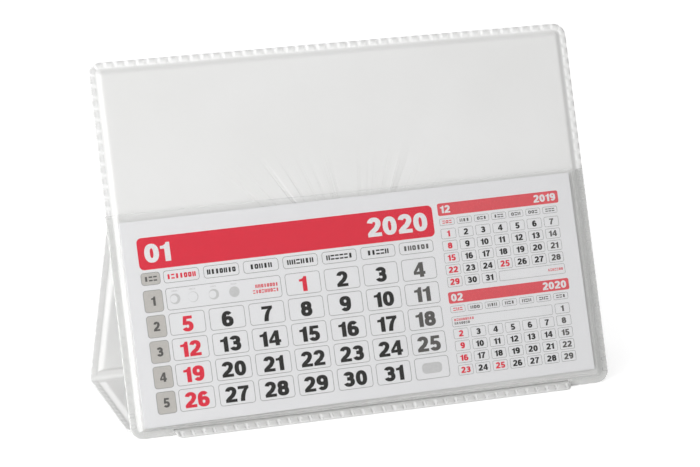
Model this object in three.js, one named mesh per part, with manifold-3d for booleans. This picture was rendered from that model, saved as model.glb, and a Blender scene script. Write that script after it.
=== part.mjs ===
// Desk calendar with a welded vinyl stand: a leaning front panel, a clear pocket that holds loose
// month sheets, and a folded leg and base whose tongue goes through a slit in the panel's hem.
// Millimetres, +Z up. The panel faces -Y. The origin lies on the table under the middle of the part.
import * as THREE from 'three';
import { mergeVertices } from 'three/addons/utils/BufferGeometryUtils.js';
import Module from 'manifold-3d';

const wasm = await Module();
wasm.setup();

// Front panel
const panelWidth = 200;
const panelHeight = 147;
const panelLean = THREE.MathUtils.degToRad(22.7);
const cornerRadius = 5;
const bottomLift = 0.2; // the hem's middle line above the table

// Sheet materials
const vinylThickness = 0.3;
const pocketThickness = 0.2;
const boardThickness = 1.8;
const paperThickness = 0.15;
const layerGap = 0.1; // between films, and from a film to its board
const sheetGap = 0.04; // between loose sheets

// Welded border
const weldWidth = 2.4;
const slopeWidth = 2.6; // the film's run from the weld up to the board's face
const boardClearance = 0.25; // from the top of the film's slope to the board's edge
const stitchPitch = 4.35;
const stitchLength = 3.1;
const stitchHeight = 0.2;
const stitchProud = 0.15; // a stitch pad stands this far past the film's edge
const stitchInner = 0.35; // and stops this far short of the weld's inner line
const stitchBevel = 0.12;
const stitchWall = 0.08; // a pad's side rises straight this far before it slopes

// Pocket and its sheets
const pocketTop = 87;
const pocketSideSlope = 1.7;
const pocketHemWeld = 2.5;
const pocketHemSlope = 1.0;
const pocketHemStitches = 8; // the pocket's hem has stitch pads only this near the panel's corners
const sheetCount = 12;
const sheetWidth = 188;
const sheetHeight = 80;
const sheetTilt = THREE.MathUtils.degToRad(0.55);
const sheetAside = -1.3; // the stack's middle from the panel's middle
const sheetAbove = 4.7; // the stack's lower edge above the hem's edge, at its middle

// Stand
const footDepth = 64; // from the hem's edge back to the fold of the foot
const legTopAlong = 81.5; // where the leg leaves the panel's back, measured up the panel
const legFlange = 4;
const foldRadius = 1.5;
const foldFlat = 2.0; // plain welded film on each side of a fold
const baseFrontGap = 3.6; // from the panel's middle plane back to the base's shoulders
const shoulderWeld = 1.44; // plain weld between the base's front fold and its shoulders
const shoulderRun = 0.5; // the stand narrows to its tongue over this length

// Tongue and slit
const tongueWidth = 165;
const tongueReach = 3.8; // in front of the hem's edge
const tongueTipRadius = 2.4;
const tongueStitchAcross = 1.92;
const tongueLevelBehind = 1.2; // the tongue lies level from this far behind the slit's middle
const tongueLevelFront = 1.6; // to this far in front of it, and then droops to the table
const tongueTipLift = 0.02;
const slitAlong = 1.65; // the slit's middle above the hem's edge, up the panel
const slitHeight = 1.4;
const slitSideClearance = 0.6;

// Worked out from the sizes above
const filmPair = vinylThickness * 2 + layerGap;
const filmInner = layerGap / 2; // the near face of a film from the welded pair's middle plane
const boardRise = boardThickness / 2 + layerGap - filmInner; // how far a film climbs onto its board
const faceOuter = filmInner + boardRise + vinylThickness; // the panel's face from its middle plane
const stackThickness = sheetCount * (paperThickness + sheetGap);
const boardInset = weldWidth + slopeWidth + boardClearance;
const cutDepth = 4 * faceOuter + 2 * stackThickness; // a cutter reaches through every film

// Steps of the curved forms
const cornerSteps = 5;
const foldSteps = 4;
const slopeShares = [0, 0.25, 0.5, 0.75, 1];
const roundShares = [0.1, 0.3, 0.6];
const smallestRound = 0.6; // a corner that is drawn in keeps this radius
const rowSpacing = 0.02; // rows of the stand that lie closer than this are one row
const pointTolerance = 1e-5;

function material(color, roughness, opacity = 1) {
  return new THREE.MeshStandardMaterial({
    color,
    roughness,
    metalness: 0,
    opacity,
    transparent: opacity < 1,
  });
}

const whiteVinyl = () => material(0xe9e9e7, 0.42);
const clearFilm = () => material(0xeef2f4, 0.12, 0.25);
const greyBoard = () => material(0xb9b2a6, 0.9);
const paper = () => material(0xe6e6e8, 0.6);

// Solid and mesh helpers

function toManifold(geometry) {
  const bare = geometry.clone();
  bare.deleteAttribute('normal');
  bare.deleteAttribute('uv');
  const merged = mergeVertices(bare, pointTolerance);
  return new wasm.Manifold(new wasm.Mesh({
    numProp: 3,
    vertProperties: new Float32Array(merged.attributes.position.array),
    triVerts: new Uint32Array(merged.index.array),
  }));
}

function toGeometry(solid) {
  const mesh = solid.getMesh();
  const geometry = new THREE.BufferGeometry();
  geometry.setAttribute('position', new THREE.BufferAttribute(new Float32Array(mesh.vertProperties), 3));
  geometry.setIndex(Array.from(mesh.triVerts));
  geometry.computeVertexNormals();
  return geometry;
}

function namedMesh(name, geometry, meshMaterial) {
  const mesh = new THREE.Mesh(geometry, meshMaterial);
  mesh.name = name;
  return mesh;
}

// A closed solid from loops of equal length, each joined to the next; the first and last are capped.
function loftRings(rings) {
  const count = rings[0].length;
  const positions = [];
  const index = [];
  for (const ring of rings) {
    for (const point of ring) positions.push(point.x, point.y, point.z);
  }
  for (let r = 0; r + 1 < rings.length; r += 1) {
    for (let i = 0; i < count; i += 1) {
      const a = r * count + i;
      const b = r * count + (i + 1) % count;
      index.push(a, b, b + count, a, b + count, a + count);
    }
  }
  const last = (rings.length - 1) * count;
  const capTriangles = THREE.ShapeUtils.triangulateShape(
    rings[0].map((point) => new THREE.Vector2(point.x, point.y)), []);
  for (const [a, b, c] of capTriangles) {
    index.push(c, b, a);
    index.push(last + a, last + b, last + c);
  }
  const geometry = new THREE.BufferGeometry();
  geometry.setAttribute('position', new THREE.Float32BufferAttribute(positions, 3));
  geometry.setIndex(index);
  return geometry;
}

const smooth = (t) => {
  const clamped = Math.min(1, Math.max(0, t));
  return clamped * clamped * (3 - 2 * clamped);
};

// Panel outline: a rounded rectangle that stands on the hem's edge in the panel's own frame

// One loop of the outline at height z, drawn in from its sides, its hem and its top.
function outlineRing(width, height, radius, sideInset, hemInset, topInset, z) {
  const round = Math.max(smallestRound, radius - sideInset);
  const right = width / 2 - sideInset - round;
  const low = hemInset + round;
  const high = height - topInset - round;
  const centres = [[right, low, -90], [right, high, 0], [-right, high, 90], [-right, low, 180]];
  const ring = [];
  for (const [x, y, start] of centres) {
    for (let i = 0; i <= cornerSteps; i += 1) {
      const angle = THREE.MathUtils.degToRad(start + (90 * i) / cornerSteps);
      ring.push(new THREE.Vector3(x + round * Math.cos(angle), y + round * Math.sin(angle), z));
    }
  }
  return ring;
}

// A film pressed over something: profile rows of [side inset, hem inset, top inset, near face height].
// The film's far face lies one thickness further out, on the side that `facing` gives.
function pressedFilm(width, height, rows, thickness, facing) {
  const near = rows.map(([side, hem, top, z]) =>
    outlineRing(width, height, cornerRadius, side, hem, top, facing * z));
  const far = rows.map(([side, hem, top, z]) =>
    outlineRing(width, height, cornerRadius, side, hem, top, facing * (z + thickness)));
  const rings = [...near.reverse(), ...far];
  if (facing < 0) rings.reverse();
  return loftRings(rings);
}

// Profile rows for a film that climbs from its weld onto a board or a stack. Each edge is its weld's
// width and its slope's run.
function climbRows(side, hem, top, start, rise) {
  const inset = (edge, share) => edge.weld + edge.slope * share;
  const climb = slopeShares.map((share) =>
    [inset(side, share), inset(hem, share), inset(top, share), start + rise * smooth(share)]);
  return [[0, 0, 0, start], ...climb];
}

// Distance walked along the outline's edge gives a point and the edge's direction there.
function outlineWalk(width, height, radius) {
  const straight = [height - 2 * radius, width - 2 * radius, height - 2 * radius, width - 2 * radius];
  const arc = (Math.PI / 2) * radius;
  const total = 2 * (straight[0] + straight[1]) + 4 * arc;
  const starts = [
    [width / 2, radius, 90],
    [width / 2 - radius, height, 180],
    [-width / 2, height - radius, 270],
    [-width / 2 + radius, 0, 360],
  ];
  const at = (distance) => {
    let left = distance % total;
    for (let side = 0; side < 4; side += 1) {
      const [x, y, heading] = starts[side];
      const turn = THREE.MathUtils.degToRad(heading);
      if (left <= straight[side]) {
        return { x: x + left * Math.cos(turn), y: y + left * Math.sin(turn), turn };
      }
      left -= straight[side];
      if (left <= arc) {
        const bend = left / radius;
        const cx = x + straight[side] * Math.cos(turn) - radius * Math.sin(turn);
        const cy = y + straight[side] * Math.sin(turn) + radius * Math.cos(turn);
        return {
          x: cx + radius * Math.sin(turn + bend),
          y: cy - radius * Math.cos(turn + bend),
          turn: turn + bend,
        };
      }
      left -= arc;
    }
    return null;
  };
  const hemMiddle = total - arc - straight[3] / 2;
  return { total, at, hemMiddle };
}

// One stitch pad: a low bar with sloping sides, its length along local X and its outer end at -Y.
function stitchPad(acrossLength) {
  const half = stitchLength / 2;
  const foot = (z, inset) => [
    new THREE.Vector3(-half + inset, -stitchProud + inset, z),
    new THREE.Vector3(half - inset, -stitchProud + inset, z),
    new THREE.Vector3(half - inset, acrossLength - inset, z),
    new THREE.Vector3(-half + inset, acrossLength - inset, z),
  ];
  const sunk = -pocketThickness / 2;
  return loftRings([foot(sunk, 0), foot(stitchWall, 0), foot(stitchHeight, stitchBevel)]);
}

const stitchAcross = weldWidth - stitchInner;

// Stitch pads along the panel's outline where `wanted` says so, standing on the height `onTop`.
function outlineStitches(width, height, onTop, wanted) {
  const walk = outlineWalk(width, height, cornerRadius);
  const count = Math.round(walk.total / stitchPitch);
  const pads = [];
  for (let i = 0; i < count; i += 1) {
    const spot = walk.at(walk.hemMiddle + ((i + 0.5) * walk.total) / count);
    if (!wanted(spot)) continue;
    const place = new THREE.Matrix4().makeRotationZ(spot.turn);
    place.setPosition(spot.x, spot.y, onTop);
    pads.push(toManifold(stitchPad(stitchAcross).applyMatrix4(place)));
  }
  return pads;
}

function joined(body, pads) {
  return pads.reduce((solid, pad) => solid.add(pad), body);
}

// The panel's pieces, in its own frame: X across, Y up the panel, Z out of its face

const innerWidth = panelWidth - 2 * stitchProud;
const outline = { width: innerWidth, height: panelHeight - 2 * stitchProud };

function slitCutter() {
  const slit = new THREE.BoxGeometry(tongueWidth + 2 * slitSideClearance, slitHeight, cutDepth);
  slit.translate(0, slitAlong, 0);
  return toManifold(slit);
}

function panelFilm(facing) {
  const edge = { weld: weldWidth, slope: slopeWidth };
  const rows = climbRows(edge, edge, edge, filmInner, boardRise);
  const film = pressedFilm(outline.width, outline.height, rows, vinylThickness, facing);
  return toManifold(film).subtract(slitCutter());
}

function frontFace() {
  const weldFace = filmInner + vinylThickness;
  const stitches = outlineStitches(outline.width, outline.height, weldFace,
    (spot) => spot.y > pocketTop + stitchPitch / 2);
  return toGeometry(joined(panelFilm(1), stitches));
}

const pocketWeldNear = filmInner + vinylThickness + layerGap;
const pocketRise = faceOuter + layerGap + stackThickness + layerGap - pocketWeldNear;

function pocketFilm() {
  const side = { weld: weldWidth, slope: pocketSideSlope };
  const hem = { weld: pocketHemWeld, slope: pocketHemSlope };
  const rows = climbRows(side, hem, { weld: 0, slope: 0 }, pocketWeldNear, pocketRise);
  const trim = cornerRadius * 3; // cut off again, so that the pocket's mouth is straight
  const film = pressedFilm(outline.width, pocketTop + trim, rows, pocketThickness, 1);
  const mouth = new THREE.BoxGeometry(panelWidth * 2, trim * 2, cutDepth);
  mouth.translate(0, pocketTop + trim, 0);
  const open = toManifold(film).subtract(toManifold(mouth)).subtract(slitCutter());
  const onSide = (spot) => spot.y < pocketTop - stitchPitch / 2 && spot.y > cornerRadius;
  const onHem = (spot) => spot.y <= cornerRadius && Math.abs(spot.x) > panelWidth / 2 - pocketHemStitches;
  const stitches = outlineStitches(outline.width, outline.height, pocketWeldNear + pocketThickness,
    (spot) => onSide(spot) || onHem(spot));
  return toGeometry(joined(open, stitches));
}

function boardPlate(width, height) {
  const round = cornerRadius / 2;
  const ring = (z) => outlineRing(width, height, round, 0, 0, 0, z);
  return loftRings([ring(-boardThickness / 2), ring(boardThickness / 2)]);
}

function addPanel(part) {
  const panel = new THREE.Group();
  panel.position.set(0, 0, bottomLift);
  panel.rotation.x = Math.PI / 2 - panelLean;
  panel.add(namedMesh('front_face_vinyl', frontFace(), whiteVinyl()));
  panel.add(namedMesh('front_back_vinyl', toGeometry(panelFilm(-1)), whiteVinyl()));
  const board = namedMesh('front_board',
    boardPlate(outline.width - 2 * boardInset, outline.height - 2 * boardInset), greyBoard());
  board.position.y = boardInset;
  panel.add(board);
  panel.add(namedMesh('pocket_film', pocketFilm(), clearFilm()));
  const stack = new THREE.Group();
  stack.position.set(sheetAside, sheetAbove + sheetHeight / 2, faceOuter + layerGap);
  stack.rotation.z = sheetTilt;
  for (let i = 0; i < sheetCount; i += 1) {
    const name = `month_sheet_${String(i + 1).padStart(2, '0')}`;
    const sheet = namedMesh(name, new THREE.BoxGeometry(sheetWidth, sheetHeight, paperThickness), paper());
    sheet.position.z = (sheetCount - 1 - i + 0.5) * (paperThickness + sheetGap);
    stack.add(sheet);
  }
  panel.add(stack);
  part.add(panel);
}

// The stand's path seen from the side: straight runs with rounded folds, walked from the flange on
// the panel's back, down the leg, round the foot, along the base and out to the tongue's tip

const panelPoint = (along, out) => new THREE.Vector2(
  along * Math.sin(panelLean) - out * Math.cos(panelLean),
  bottomLift + along * Math.cos(panelLean) + out * Math.sin(panelLean));

const baseMiddle = faceOuter; // the base's middle plane above the table
const standBehind = -(faceOuter + layerGap + filmPair / 2);
const slitMiddle = panelPoint(slitAlong, filmInner);

function roundedPath(corners) {
  const parts = [];
  let from = corners[0].point;
  for (let i = 1; i < corners.length; i += 1) {
    const corner = corners[i];
    const back = from.clone().sub(corner.point).normalize();
    if (i === corners.length - 1) {
      parts.push({ from, to: corner.point });
      break;
    }
    const onward = corners[i + 1].point.clone().sub(corner.point).normalize();
    const half = Math.acos(THREE.MathUtils.clamp(back.dot(onward), -1, 1)) / 2;
    const reach = corner.radius / Math.tan(half);
    const start = corner.point.clone().addScaledVector(back, reach);
    const end = corner.point.clone().addScaledVector(onward, reach);
    parts.push({ from, to: start });
    const middle = back.clone().add(onward).normalize();
    const centre = corner.point.clone().addScaledVector(middle, corner.radius / Math.sin(half));
    parts.push({ from: start, to: end, centre, radius: corner.radius, sweep: Math.PI - 2 * half });
    from = end;
  }
  let walked = 0;
  for (const part of parts) {
    part.start = walked;
    part.length = part.centre ? part.radius * part.sweep : part.from.distanceTo(part.to);
    walked += part.length;
  }
  const at = (distance) => {
    const found = parts.find((part) => distance <= part.start + part.length);
    const share = (distance - found.start) / found.length;
    if (!found.centre) {
      const point = found.from.clone().lerp(found.to, share);
      const heading = found.to.clone().sub(found.from).normalize();
      return { point, heading };
    }
    const first = found.from.clone().sub(found.centre);
    const side = Math.sign(first.cross(found.to.clone().sub(found.centre)));
    const turned = first.clone().rotateAround(new THREE.Vector2(), side * found.sweep * share);
    const point = found.centre.clone().add(turned);
    const heading = new THREE.Vector2(-turned.y, turned.x).multiplyScalar(side).normalize();
    return { point, heading };
  };
  return { parts, total: walked, at };
}

const standPath = roundedPath([
  { point: panelPoint(legTopAlong + legFlange, standBehind) },
  { point: panelPoint(legTopAlong, standBehind), radius: foldRadius },
  { point: new THREE.Vector2(footDepth, baseMiddle), radius: foldRadius },
  { point: new THREE.Vector2(baseFrontGap + weldWidth, baseMiddle), radius: foldRadius * 2 },
  { point: new THREE.Vector2(slitMiddle.x + tongueLevelBehind, slitMiddle.y), radius: foldRadius },
  { point: new THREE.Vector2(slitMiddle.x - tongueLevelFront, slitMiddle.y), radius: foldRadius },
  { point: new THREE.Vector2(-tongueReach, filmPair / 2 + tongueTipLift) },
]);

// The straight runs between the folds: the flange comes first, then the leg and the base.
const [, legRun, baseRun] = standPath.parts.filter((part) => !part.centre);
const legSpan = { start: legRun.start + foldFlat, end: legRun.start + legRun.length - foldFlat };
const baseSpan = { start: baseRun.start + foldFlat, end: baseRun.start + baseRun.length - foldFlat / 2 };
const shoulderSpot = baseRun.start + baseRun.length + shoulderWeld;

// Half the stand's width at a distance along its path.
function standHalfWidth(distance) {
  const full = innerWidth / 2;
  const tongueHalf = tongueWidth / 2;
  const roundEnd = (toEnd, radius) => {
    if (toEnd >= radius) return 0;
    const reach = radius - Math.max(0, toEnd);
    return radius - Math.sqrt(radius * radius - reach * reach);
  };
  if (distance <= shoulderSpot) {
    return full - roundEnd(shoulderSpot - distance, cornerRadius) - roundEnd(distance, cornerRadius / 2);
  }
  if (distance < shoulderSpot + shoulderRun) {
    const atShoulder = full - cornerRadius;
    return THREE.MathUtils.lerp(atShoulder, tongueHalf, (distance - shoulderSpot) / shoulderRun);
  }
  return tongueHalf - roundEnd(standPath.total - distance, tongueTipRadius);
}

// How far a film climbs onto its board at a distance along the path and in from its side.
function standRise(distance, inset) {
  const along = (span) => Math.min(distance - span.start, span.end - distance) / slopeWidth;
  const share = Math.min(Math.max(along(legSpan), along(baseSpan)), (inset - weldWidth) / slopeWidth);
  return boardRise * smooth(share);
}

function standRows() {
  const rows = [0, standPath.total, shoulderSpot, shoulderSpot + shoulderRun];
  for (const part of standPath.parts) {
    const steps = part.centre ? foldSteps : 1;
    for (let i = 0; i <= steps; i += 1) rows.push(part.start + (part.length * i) / steps);
  }
  for (const span of [legSpan, baseSpan]) {
    for (const share of slopeShares) {
      rows.push(span.start + slopeWidth * share);
      rows.push(span.end - slopeWidth * share);
    }
  }
  for (const share of roundShares) {
    rows.push(shoulderSpot - cornerRadius * share);
    rows.push((cornerRadius / 2) * share);
    rows.push(standPath.total - tongueTipRadius * share);
  }
  rows.sort((a, b) => a - b);
  return rows.filter((row, i) => i === 0 || row - rows[i - 1] > rowSpacing);
}

// A film of the stand; side is 1 for the one that faces into the stand and -1 for the outer one.
function standFilm(side) {
  const insets = [0, ...slopeShares.map((share) => weldWidth + slopeWidth * share)];
  const rows = standRows();
  const columns = insets.length * 2;
  const positions = [];
  for (const face of [0, 1]) {
    for (const row of rows) {
      const { point, heading } = standPath.at(row);
      const normal = new THREE.Vector2(heading.y, -heading.x);
      const half = standHalfWidth(row);
      for (let i = 0; i < columns; i += 1) {
        const inset = insets[Math.min(i, columns - 1 - i)];
        const x = (i < insets.length ? -1 : 1) * (half - inset);
        const out = side * (filmInner + face * vinylThickness + standRise(row, inset));
        positions.push(x, point.x + normal.x * out, point.y + normal.y * out);
      }
    }
  }
  const vertex = (face, row, column) => (face * rows.length + row) * columns + column;
  const index = [];
  const quad = (a, b, c, d) => index.push(a, b, c, a, c, d);
  for (let r = 0; r + 1 < rows.length; r += 1) {
    for (let c = 0; c + 1 < columns; c += 1) {
      quad(vertex(0, r, c), vertex(0, r, c + 1), vertex(0, r + 1, c + 1), vertex(0, r + 1, c));
      quad(vertex(1, r, c), vertex(1, r + 1, c), vertex(1, r + 1, c + 1), vertex(1, r, c + 1));
    }
    quad(vertex(0, r, 0), vertex(0, r + 1, 0), vertex(1, r + 1, 0), vertex(1, r, 0));
    const end = columns - 1;
    quad(vertex(0, r, end), vertex(1, r, end), vertex(1, r + 1, end), vertex(0, r + 1, end));
  }
  const bottom = rows.length - 1;
  for (let c = 0; c + 1 < columns; c += 1) {
    quad(vertex(0, 0, c), vertex(1, 0, c), vertex(1, 0, c + 1), vertex(0, 0, c + 1));
    quad(vertex(0, bottom, c), vertex(0, bottom, c + 1), vertex(1, bottom, c + 1), vertex(1, bottom, c));
  }
  if (side < 0) index.reverse();
  const geometry = new THREE.BufferGeometry();
  geometry.setAttribute('position', new THREE.Float32BufferAttribute(positions, 3));
  geometry.setIndex(index);
  return geometry;
}

// A point of the stand's path in space, with the way along it and the way into the stand.
function standFrame(distance) {
  const { point, heading } = standPath.at(distance);
  return {
    origin: new THREE.Vector3(0, point.x, point.y),
    along: new THREE.Vector3(0, heading.x, heading.y),
    normal: new THREE.Vector3(0, heading.y, -heading.x),
  };
}

// A stitch pad on the stand's inner film, its length along `length` and its inner end at `across`.
function standPad(frame, x, length, across, acrossLength) {
  const matrix = new THREE.Matrix4().makeBasis(length, across, frame.normal);
  const origin = frame.origin.clone().addScaledVector(frame.normal, filmInner + vinylThickness);
  matrix.setPosition(origin.setX(x));
  return toManifold(stitchPad(acrossLength).applyMatrix4(matrix));
}

// Down both sides of the leg and of the base
function sideStitches(run) {
  const clear = foldFlat / 2;
  const usable = run.length - 2 * clear;
  const count = Math.floor(usable / stitchPitch);
  const right = new THREE.Vector3(1, 0, 0);
  const pads = [];
  for (let i = 0; i < count; i += 1) {
    const distance = run.start + clear + ((i + 0.5) * usable) / count;
    const frame = standFrame(distance);
    const half = standHalfWidth(distance);
    pads.push(standPad(frame, -half, frame.along, right, stitchAcross));
    pads.push(standPad(frame, half, frame.along.clone().negate(), right.clone().negate(), stitchAcross));
  }
  return pads;
}

// Across the tongue's tip
function tongueStitches() {
  const frame = standFrame(standPath.total - stitchProud);
  const usable = tongueWidth - 2 * tongueTipRadius;
  const count = Math.floor(usable / stitchPitch);
  const right = new THREE.Vector3(1, 0, 0);
  const inward = frame.along.clone().negate();
  const pads = [];
  for (let i = 0; i < count; i += 1) {
    const x = -usable / 2 + ((i + 0.5) * usable) / count;
    pads.push(standPad(frame, x, right, inward, tongueStitchAcross));
  }
  return pads;
}

// A board inside the stand, between two distances along its path.
function standBoard(span) {
  const margin = slopeWidth + boardClearance;
  const length = span.end - span.start - 2 * margin;
  const middle = standPath.at((span.start + span.end) / 2);
  const plate = boardPlate(outline.width - 2 * boardInset, length);
  plate.translate(0, -length / 2, 0);
  const across = new THREE.Vector3(1, 0, 0);
  const along = new THREE.Vector3(0, middle.heading.x, middle.heading.y);
  const matrix = new THREE.Matrix4().makeBasis(across, along, across.clone().cross(along));
  matrix.setPosition(0, middle.point.x, middle.point.y);
  return plate.applyMatrix4(matrix);
}

function addStand(part) {
  const stitches = [...sideStitches(legRun), ...sideStitches(baseRun), ...tongueStitches()];
  const inner = joined(toManifold(standFilm(1)), stitches);
  part.add(namedMesh('stand_inner_vinyl', toGeometry(inner), whiteVinyl()));
  part.add(namedMesh('stand_outer_vinyl', standFilm(-1), whiteVinyl()));
  part.add(namedMesh('leg_board', standBoard(legSpan), greyBoard()));
  part.add(namedMesh('base_board', standBoard(baseSpan), greyBoard()));
}

const calendar = new THREE.Group();
addPanel(calendar);
addStand(calendar);
// The origin goes on the table, under the middle of the part's depth.
calendar.updateMatrixWorld(true);
const bounds = new THREE.Box3().setFromObject(calendar, true);
calendar.position.set(0, -(bounds.min.y + bounds.max.y) / 2, -bounds.min.z);

export default calendar;
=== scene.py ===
import bmesh
import bpy
import numpy as np
from math import acos, atan2, cos, pi, radians, sin, tan
from mathutils import Matrix, Vector
from mathutils.geometry import delaunay_2d_cdt


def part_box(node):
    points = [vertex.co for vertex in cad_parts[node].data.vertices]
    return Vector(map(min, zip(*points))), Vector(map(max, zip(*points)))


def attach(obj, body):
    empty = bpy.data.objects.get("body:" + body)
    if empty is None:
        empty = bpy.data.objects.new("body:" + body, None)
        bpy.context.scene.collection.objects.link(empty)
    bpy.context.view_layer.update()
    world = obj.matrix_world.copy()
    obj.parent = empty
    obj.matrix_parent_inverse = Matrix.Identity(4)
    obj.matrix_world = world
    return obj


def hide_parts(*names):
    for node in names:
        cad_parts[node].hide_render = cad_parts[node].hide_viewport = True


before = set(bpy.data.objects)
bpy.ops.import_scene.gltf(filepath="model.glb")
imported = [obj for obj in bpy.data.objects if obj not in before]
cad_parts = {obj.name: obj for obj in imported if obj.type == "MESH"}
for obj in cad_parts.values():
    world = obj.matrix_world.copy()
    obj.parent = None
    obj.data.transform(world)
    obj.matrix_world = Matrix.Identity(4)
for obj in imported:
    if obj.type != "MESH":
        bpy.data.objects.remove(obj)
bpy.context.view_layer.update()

mm = 0.001
body = "root"
rng = np.random.default_rng(7)

# lengths are in millimetres until a mesh is made; the panel's own frame has u across, v up the
# panel from the hem and n out of its face
panel = dict(width=199.7, height=146.7, lean=22.7, corner=5.0, leastCorner=0.35, proud=0.15)
film = dict(vinyl=0.3, clear=0.2, gap=0.1, board=1.8, boardSlack=0.25, rim=0.12)
weld = dict(width=2.4, slope=2.6, pitch=4.35, pad=3.1, bevel=0.44, rise=0.2, pressed=0.07,
            padStart=-0.05, startSoft=0.3, padEnd=1.75, gapStart=0.2, gapEnd=1.7, endSoft=0.5)
stack = dict(width=188.0, height=80.0, tilt=0.55, aside=-1.3, above=4.7, count=12, paper=0.15, gap=0.04)
# the pocket's slope and gap shares whiten the clear film as painted highlight, and its edge share whitens the
# film's top edge a little
pocket = dict(top=87.0, leftSlope=1.7, rightSlope=4.0, hemWeld=2.5, hemSlope=1.0, leftRibs=0.06,
              rightRibs=0.2, wave=34, waveHeight=0.05, crinkle=15, crinkleHeight=0.5, slopeHighlight=0.28,
              gapFilmHighlight=0.5, topEdgeWhite=0.12)
# the stand's leg, base and gap shares lighten its films as painted light, and its edge share darkens a line
# as painted shade
stand = dict(footDepth=64.0, legTop=81.5, flange=4.0, fold=1.5, foldSteps=10, flat=2.0, shoulder=3.6,
             shoulderShare=0.6, spacing=0.42, legRibs=0.15, baseRibs=0.7, outerRibs=0.3, firstPad=1.0,
             wave=40, waveHeight=0.06, legLight=0.6, baseLight=0.3, gapHighlight=0.5, edgeShade=0.22)
# the tongue's pad and ridge shares darken its ribs as painted shade
tongue = dict(width=165.0, reach=3.8, tip=2.4, tipShare=0.98, tipLift=0.02, levelBehind=1.2, levelFront=1.6,
              slitAt=1.65, slitHeight=1.4, slitSide=0.6, columns=401, rim=0.10, padEnd=2.6, pressed=0.05,
              padShade=0.16, ridgeShade=0.8)
# in panelLook, the weld and gap shares are painted highlight, and the mark and right shares are painted shade
panelLook = dict(wave=46, waveHeight=0.05, waveFrom=5.6, backRibs=0.35, backGaps=0.3, weldHighlight=0.75,
                 gapHighlight=0.25, markLength=2.1, markShade=0.34, rightShade=0.14)

lean = radians(panel["lean"])
panelHalf = panel["width"] / 2
filmInner = film["gap"] / 2
boardRise = film["board"] / 2 + film["gap"] - filmInner
faceOuter = filmInner + boardRise + film["vinyl"]
sheetPitch = stack["paper"] + stack["gap"]
stackThick = stack["count"] * sheetPitch
boardInset = weld["width"] + weld["slope"] + film["boardSlack"]

# the hem's middle line, found from the front board, which the frame places
boardLow = np.array(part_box("front_board")[0]) / mm
hemY = boardLow[1] - boardInset * sin(lean) + film["board"] / 2 * cos(lean)
hemZ = boardLow[2] - boardInset * cos(lean) + film["board"] / 2 * sin(lean)


def chain(*arrays):
    # one after the other
    return np.concatenate(arrays)


def stacked(*arrays):
    # side by side, as the last axis
    return np.stack(arrays, axis=-1)


def panelPoint(u, v, n):
    # a place on the panel, as across, back and up
    u, v, n = np.broadcast_arrays(u, v, n)
    y = hemY + v * sin(lean) - n * cos(lean)
    z = hemZ + v * cos(lean) + n * sin(lean)
    return stacked(u, y, z)


def smooth(t):
    t = np.clip(t, 0.0, 1.0)
    return t * t * (3 - 2 * t)


# meshes from arrays

def makeObject(name, points, faces, material, isSmooth=True, values=None):
    mesh = bpy.data.meshes.new(name)
    corners = np.concatenate([np.asarray(f, dtype=np.int32).ravel() for f in faces])
    sizes = np.concatenate([np.full(len(f), np.shape(f)[1], dtype=np.int32) for f in faces])
    mesh.vertices.add(len(points))
    mesh.vertices.foreach_set("co", (np.asarray(points) * mm).astype(np.float32).ravel())
    mesh.loops.add(len(corners))
    mesh.loops.foreach_set("vertex_index", corners)
    mesh.polygons.add(len(sizes))
    starts = chain([0], np.cumsum(sizes)[:-1]).astype(np.int32)
    mesh.polygons.foreach_set("loop_start", starts)
    for key, data in (values or {}).items():
        mesh.attributes.new(key, "FLOAT", "POINT").data.foreach_set("value", data.astype(np.float32))
    mesh.update(calc_edges=True)
    mesh.validate()
    mesh.polygons.foreach_set("use_smooth", np.full(len(mesh.polygons), isSmooth))
    mesh.materials.append(material)
    piece = bpy.data.objects.new(name, mesh)
    bpy.context.collection.objects.link(piece)
    return piece


def gridFaces(rows, columns, start=0, wrap=False):
    # the squares of a grid of points laid out row by row
    r, c = np.meshgrid(np.arange(rows - 1), np.arange(columns if wrap else columns - 1), indexing="ij")
    nextColumn = (c + 1) % columns
    a, b = r * columns + c, r * columns + nextColumn
    return start + stacked(a, b, b + columns, a + columns).reshape(-1, 4)


def sheetShell(outer, inner):
    # two open grids of the same size, closed round their rims
    rows, columns = outer.shape[:2]
    count = rows * columns
    top = gridFaces(rows, columns)
    under = gridFaces(rows, columns, count)[:, ::-1]
    index = np.arange(count).reshape(rows, columns)
    rim = chain(index[0, :-1], index[:-1, -1], index[-1, :0:-1], index[:0:-1, 0])
    after = np.roll(rim, -1)
    wall = stacked(rim, rim + count, after + count, after)
    return chain(outer.reshape(-1, 3), inner.reshape(-1, 3)), [top, under, wall]


def turnOut(points, faces):
    # the signed volume says whether the faces point in, and then they are turned
    total = 0.0
    for f in faces:
        a = points[f[:, 0]]
        for k in range(1, f.shape[1] - 1):
            total += np.einsum("ij,ij->i", a, np.cross(points[f[:, k]], points[f[:, k + 1]])).sum()
    return faces if total > 0 else [f[:, ::-1] for f in faces]


def joinParts(parts):
    # several closed bodies as one list of points and faces
    points, faces, start = [], [], 0
    for p, fs in parts:
        points.append(p)
        faces += [np.asarray(f) + start for f in fs]
        start += len(p)
    bySize = {}
    for f in faces:
        bySize.setdefault(f.shape[1], []).append(f)
    return chain(*points), [chain(*fs) for fs in bySize.values()]


# shaders as sums

class Wire:
    # a socket that is added and multiplied as a number is
    def __init__(self, paint, socket):
        self.paint = paint
        self.socket = socket

    def sum(self, kind, first, second):
        return self.paint.node("Math", {"operation": kind}, {0: first, 1: second})

    def __add__(self, other):
        return self.sum("ADD", self, other)

    __radd__ = __add__

    def __mul__(self, other):
        return self.sum("MULTIPLY", self, other)

    __rmul__ = __mul__

    def __sub__(self, other):
        return self.sum("SUBTRACT", self, other)

    def __rsub__(self, other):
        return self.sum("SUBTRACT", other, self)


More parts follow.
